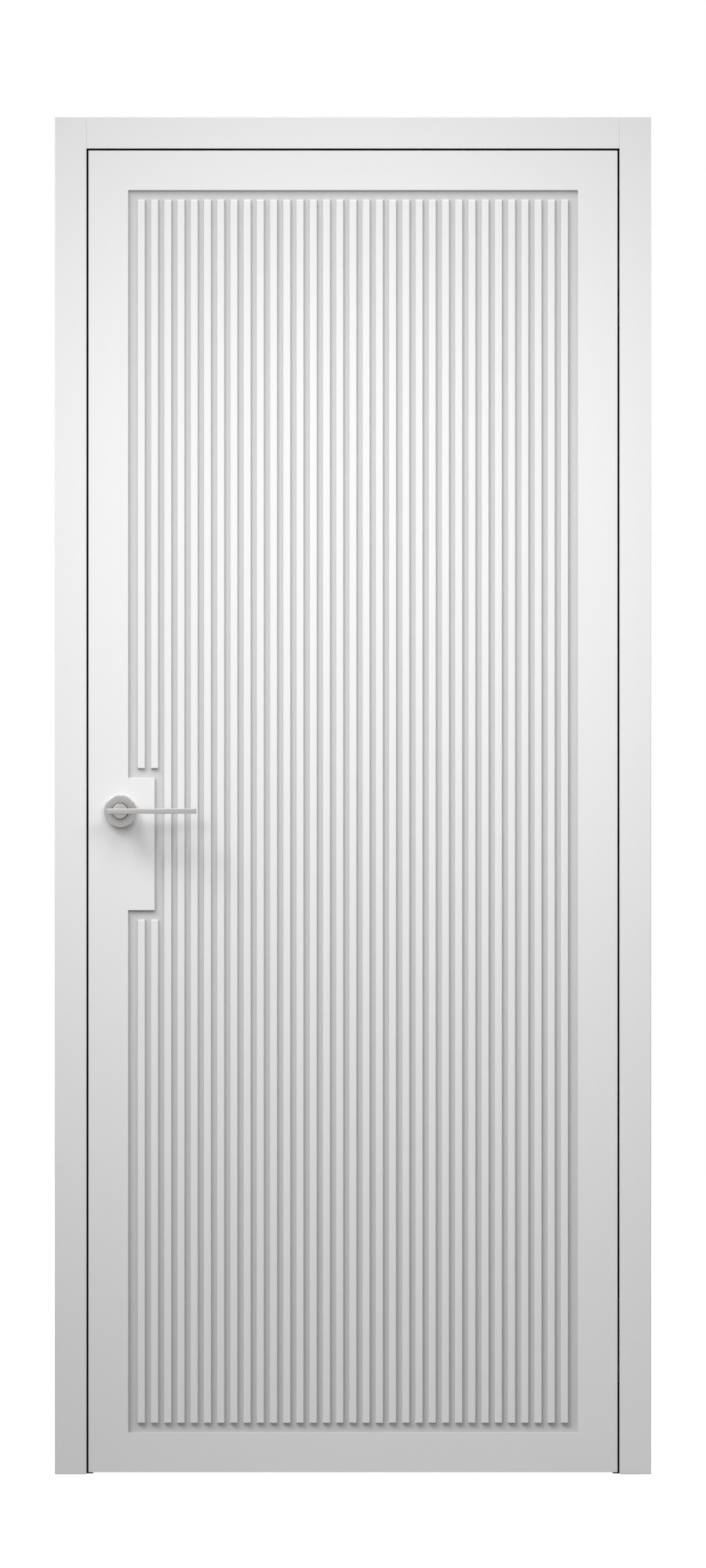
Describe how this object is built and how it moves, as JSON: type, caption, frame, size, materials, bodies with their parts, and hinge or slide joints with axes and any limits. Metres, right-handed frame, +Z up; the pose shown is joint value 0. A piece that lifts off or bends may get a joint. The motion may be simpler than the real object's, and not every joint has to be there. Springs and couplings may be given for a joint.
{
  "type": "interior door",
  "caption": "Flush interior door in its frame: a white ribbed leaf on concealed hinges, with slim lever handles, flat casings and rubber seals.",
  "frame": {"origin": "on the hinge jamb's outer face, which is fixed to the wall, at floor level and midway in the jamb's depth", "axes": "+Z up, +X out of the opening past the hinge jamb, -Y towards the side that the leaf opens to"},
  "size_m": [0.902, 0.174, 2.054],
  "materials": {
    "white_lacquer": "satin white lacquer on fibreboard",
    "edge_lacquer": "matt black lacquer on the solid timber edges that face the gap",
    "core_board": "raw board inside the leaf, not seen",
    "seal_rubber": "matt black rubber",
    "satin_nickel": "satin nickel plate",
    "hinge_zinc": "silver grey painted die casting",
    "hinge_steel": "bright zinc plated steel",
    "latch_steel": "satin stainless steel"
  },
  "bodies": {
    "frame": {"jamb_hinge": "white_lacquer", "jamb_latch": "white_lacquer", "jamb_head": "white_lacquer", "seal_hinge": "seal_rubber", "seal_latch": "seal_rubber", "seal_head": "seal_rubber", "lining_hinge": "white_lacquer", "lining_latch": "white_lacquer", "lining_head": "white_lacquer", "casing_front_hinge": "white_lacquer", "casing_front_latch": "white_lacquer", "casing_front_head": "white_lacquer", "casing_back_hinge": "white_lacquer", "casing_back_latch": "white_lacquer", "casing_back_head": "white_lacquer", "strike_plate": "latch_steel", "hinge_cup_jamb_bottom": "hinge_zinc", "hinge_cup_jamb_top": "hinge_zinc"},
    "leaf": {"face_sheet_front": "white_lacquer", "face_sheet_back": "white_lacquer", "stile_latch": "edge_lacquer", "stile_hinge": "edge_lacquer", "rail_top": "edge_lacquer", "rail_bottom": "edge_lacquer", "core": "core_board", "latch": "latch_steel", "latch_bolt": "latch_steel", "rose_front": "satin_nickel", "rose_back": "satin_nickel", "hinge_cup_leaf_bottom": "hinge_zinc", "hinge_cup_leaf_top": "hinge_zinc"},
    "jamb_arms": {"hinge_arm_jamb_bottom": "hinge_steel", "hinge_arm_jamb_top": "hinge_steel"},
    "leaf_arms": {"hinge_arm_leaf_bottom": "hinge_steel", "hinge_arm_leaf_top": "hinge_steel"},
    "handle": {"lever_front": "satin_nickel", "lever_back": "satin_nickel", "spindle": "latch_steel"}
  },
  "joints": [
    {"name": "leaf_swing", "type": "hinge", "parent": "frame", "child": "leaf", "pos_m": [-0.0315, -0.038, 0], "axis": [0, 0, 1], "range_deg": [0, 105]},
    {"name": "jamb_arm_turn", "type": "hinge", "parent": "frame", "child": "jamb_arms", "pos_m": [-0.0211, -0.02, 0], "axis": [0, 0, 1], "range_deg": [0, 105]},
    {"name": "leaf_arm_turn", "type": "hinge", "parent": "leaf", "child": "leaf_arms", "pos_m": [-0.0419, -0.02, 0], "axis": [0, 0, 1], "range_deg": [-105, 0]},
    {"name": "handle_turn", "type": "hinge", "parent": "leaf", "child": "handle", "pos_m": [-0.785, -0.014, 1.0035], "axis": [0, 1, 0], "range_deg": [0, 45], "stiffness_Nm_per_rad": 1.2, "springref_deg": -17.19}
  ],
  "couplings": [
    {"joint": "jamb_arm_turn", "follows": "leaf_swing", "ratio": 1},
    {"joint": "leaf_arm_turn", "follows": "leaf_swing", "ratio": -1}
  ]
}
